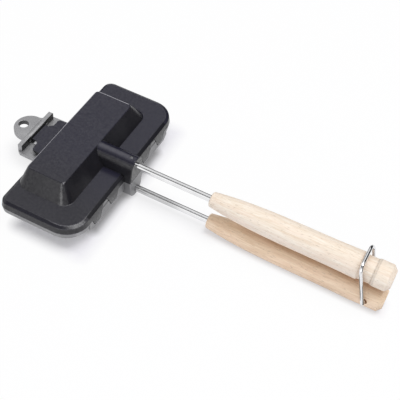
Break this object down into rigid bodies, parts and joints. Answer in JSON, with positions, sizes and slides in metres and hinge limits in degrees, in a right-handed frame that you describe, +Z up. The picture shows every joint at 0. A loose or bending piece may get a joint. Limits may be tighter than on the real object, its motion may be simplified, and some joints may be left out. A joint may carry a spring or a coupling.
{
  "type": "pie iron",
  "caption": "Long-handled pie iron: two hinged cast pans that toast a folded slice, with wooden handles held by a swinging wire bail.",
  "frame": {"origin": "centre of the lower pan's flat stand face", "axes": "+X from the hinge to the handle ends, +Y along the pans, +Z up from the lower pan to the upper pan"},
  "size_m": [0.3149, 0.155, 0.0489],
  "materials": {
    "coated_casting": "cast aluminium under a satin black non-stick coat",
    "bare_casting": "bare cast aluminium, satin",
    "rod_steel": "bright plated steel rod",
    "pin_steel": "plain steel pin",
    "upper_wood": "pale turned beech, sanded and lightly sealed",
    "lower_wood": "turned beech, sanded and lightly sealed, a shade warmer",
    "bail_wire": "bright plated steel wire"
  },
  "bodies": {
    "base": {"lower_pan": "bare_casting", "lower_rod": "rod_steel", "lower_set_pin": "pin_steel", "lower_handle": "lower_wood"},
    "lid": {"upper_pan": "coated_casting", "upper_rod": "rod_steel", "upper_set_pin": "pin_steel", "upper_handle": "upper_wood"},
    "bail": {"bail": "bail_wire"}
  },
  "joints": [
    {"name": "lid_hinge", "type": "hinge", "parent": "base", "child": "lid", "pos_m": [-0.04235, 0, 0.0202], "axis": [0, -1, 0], "range_deg": [0, 105]},
    {"name": "bail_swing", "type": "hinge", "parent": "base", "child": "bail", "pos_m": [0.24155, 0, 0.0079], "axis": [0, 1, 0], "range_deg": [0, 255]}
  ]
}
